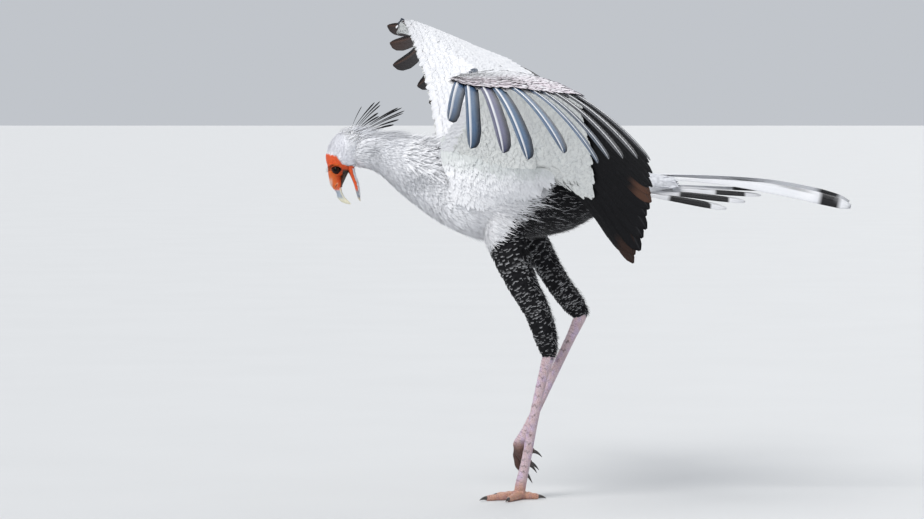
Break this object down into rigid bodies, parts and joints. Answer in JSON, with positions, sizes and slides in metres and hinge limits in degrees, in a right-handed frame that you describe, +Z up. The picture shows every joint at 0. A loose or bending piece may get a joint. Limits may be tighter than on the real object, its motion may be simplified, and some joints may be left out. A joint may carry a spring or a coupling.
{
  "type": "secretary bird, still life-size model",
  "caption": "Life-size still model of a secretary bird standing on one foot with both wings raised, neck stretched forward and bill open towards the ground.",
  "frame": {"origin": "on the floor under the ball of the standing left foot, at the small flat it rests on", "axes": "+Z up, -X towards the bill, -Y towards the bird's left wing"},
  "size_m": [1.1163, 1.5843, 1.0415],
  "materials": {
    "white_feather": "matte",
    "grey_feather": "matte",
    "black_feather": "satin",
    "slate_feather": "satin",
    "face_skin": "satin",
    "horn": "gloss",
    "leg_skin": "satin",
    "claw": "gloss",
    "eye": "gloss"
  },
  "bodies": {
    "root": {"trunk": "white_feather", "neck": "grey_feather", "eye_left": "eye", "eye_right": "eye", "head": "face_skin", "bill_upper": "horn", "bill_lower": "face_skin", "crest": "black_feather", "tail_streamer_left": "grey_feather", "tail_streamer_right": "grey_feather", "tail": "grey_feather", "thigh_left": "black_feather", "shank_left": "leg_skin", "foot_left": "leg_skin", "claw_left_inner": "claw", "claw_left_middle": "claw", "claw_left_outer": "claw", "claw_left_hind": "claw", "thigh_right": "black_feather", "shank_right": "leg_skin", "foot_right": "leg_skin", "claw_right_hind": "claw", "claw_right_inner": "claw", "claw_right_middle": "claw", "claw_right_outer": "claw", "wing_left_hand": "white_feather", "wing_left_forearm": "white_feather", "wing_left_upper_arm": "white_feather", "wing_left_secondaries": "black_feather", "wing_left_tertials": "black_feather", "wing_left_primary_01": "slate_feather", "wing_left_primary_02": "slate_feather", "wing_left_primary_03": "slate_feather", "wing_left_primary_04": "slate_feather", "wing_left_primary_05": "slate_feather", "wing_left_primary_06": "slate_feather", "wing_left_primary_07": "slate_feather", "wing_left_primary_08": "slate_feather", "wing_left_primary_09": "slate_feather", "wing_left_primary_10": "slate_feather", "wing_right_hand": "white_feather", "wing_right_forearm": "white_feather", "wing_right_upper_arm": "white_feather", "wing_right_secondaries": "black_feather", "wing_right_tertials": "black_feather", "wing_right_primary_01": "black_feather", "wing_right_primary_02": "black_feather", "wing_right_primary_03": "black_feather", "wing_right_primary_04": "black_feather", "wing_right_primary_05": "black_feather", "wing_right_primary_06": "black_feather", "wing_right_primary_07": "black_feather", "wing_right_primary_08": "black_feather", "wing_right_primary_09": "black_feather", "wing_right_primary_10": "black_feather"}
  },
  "joints": []
}
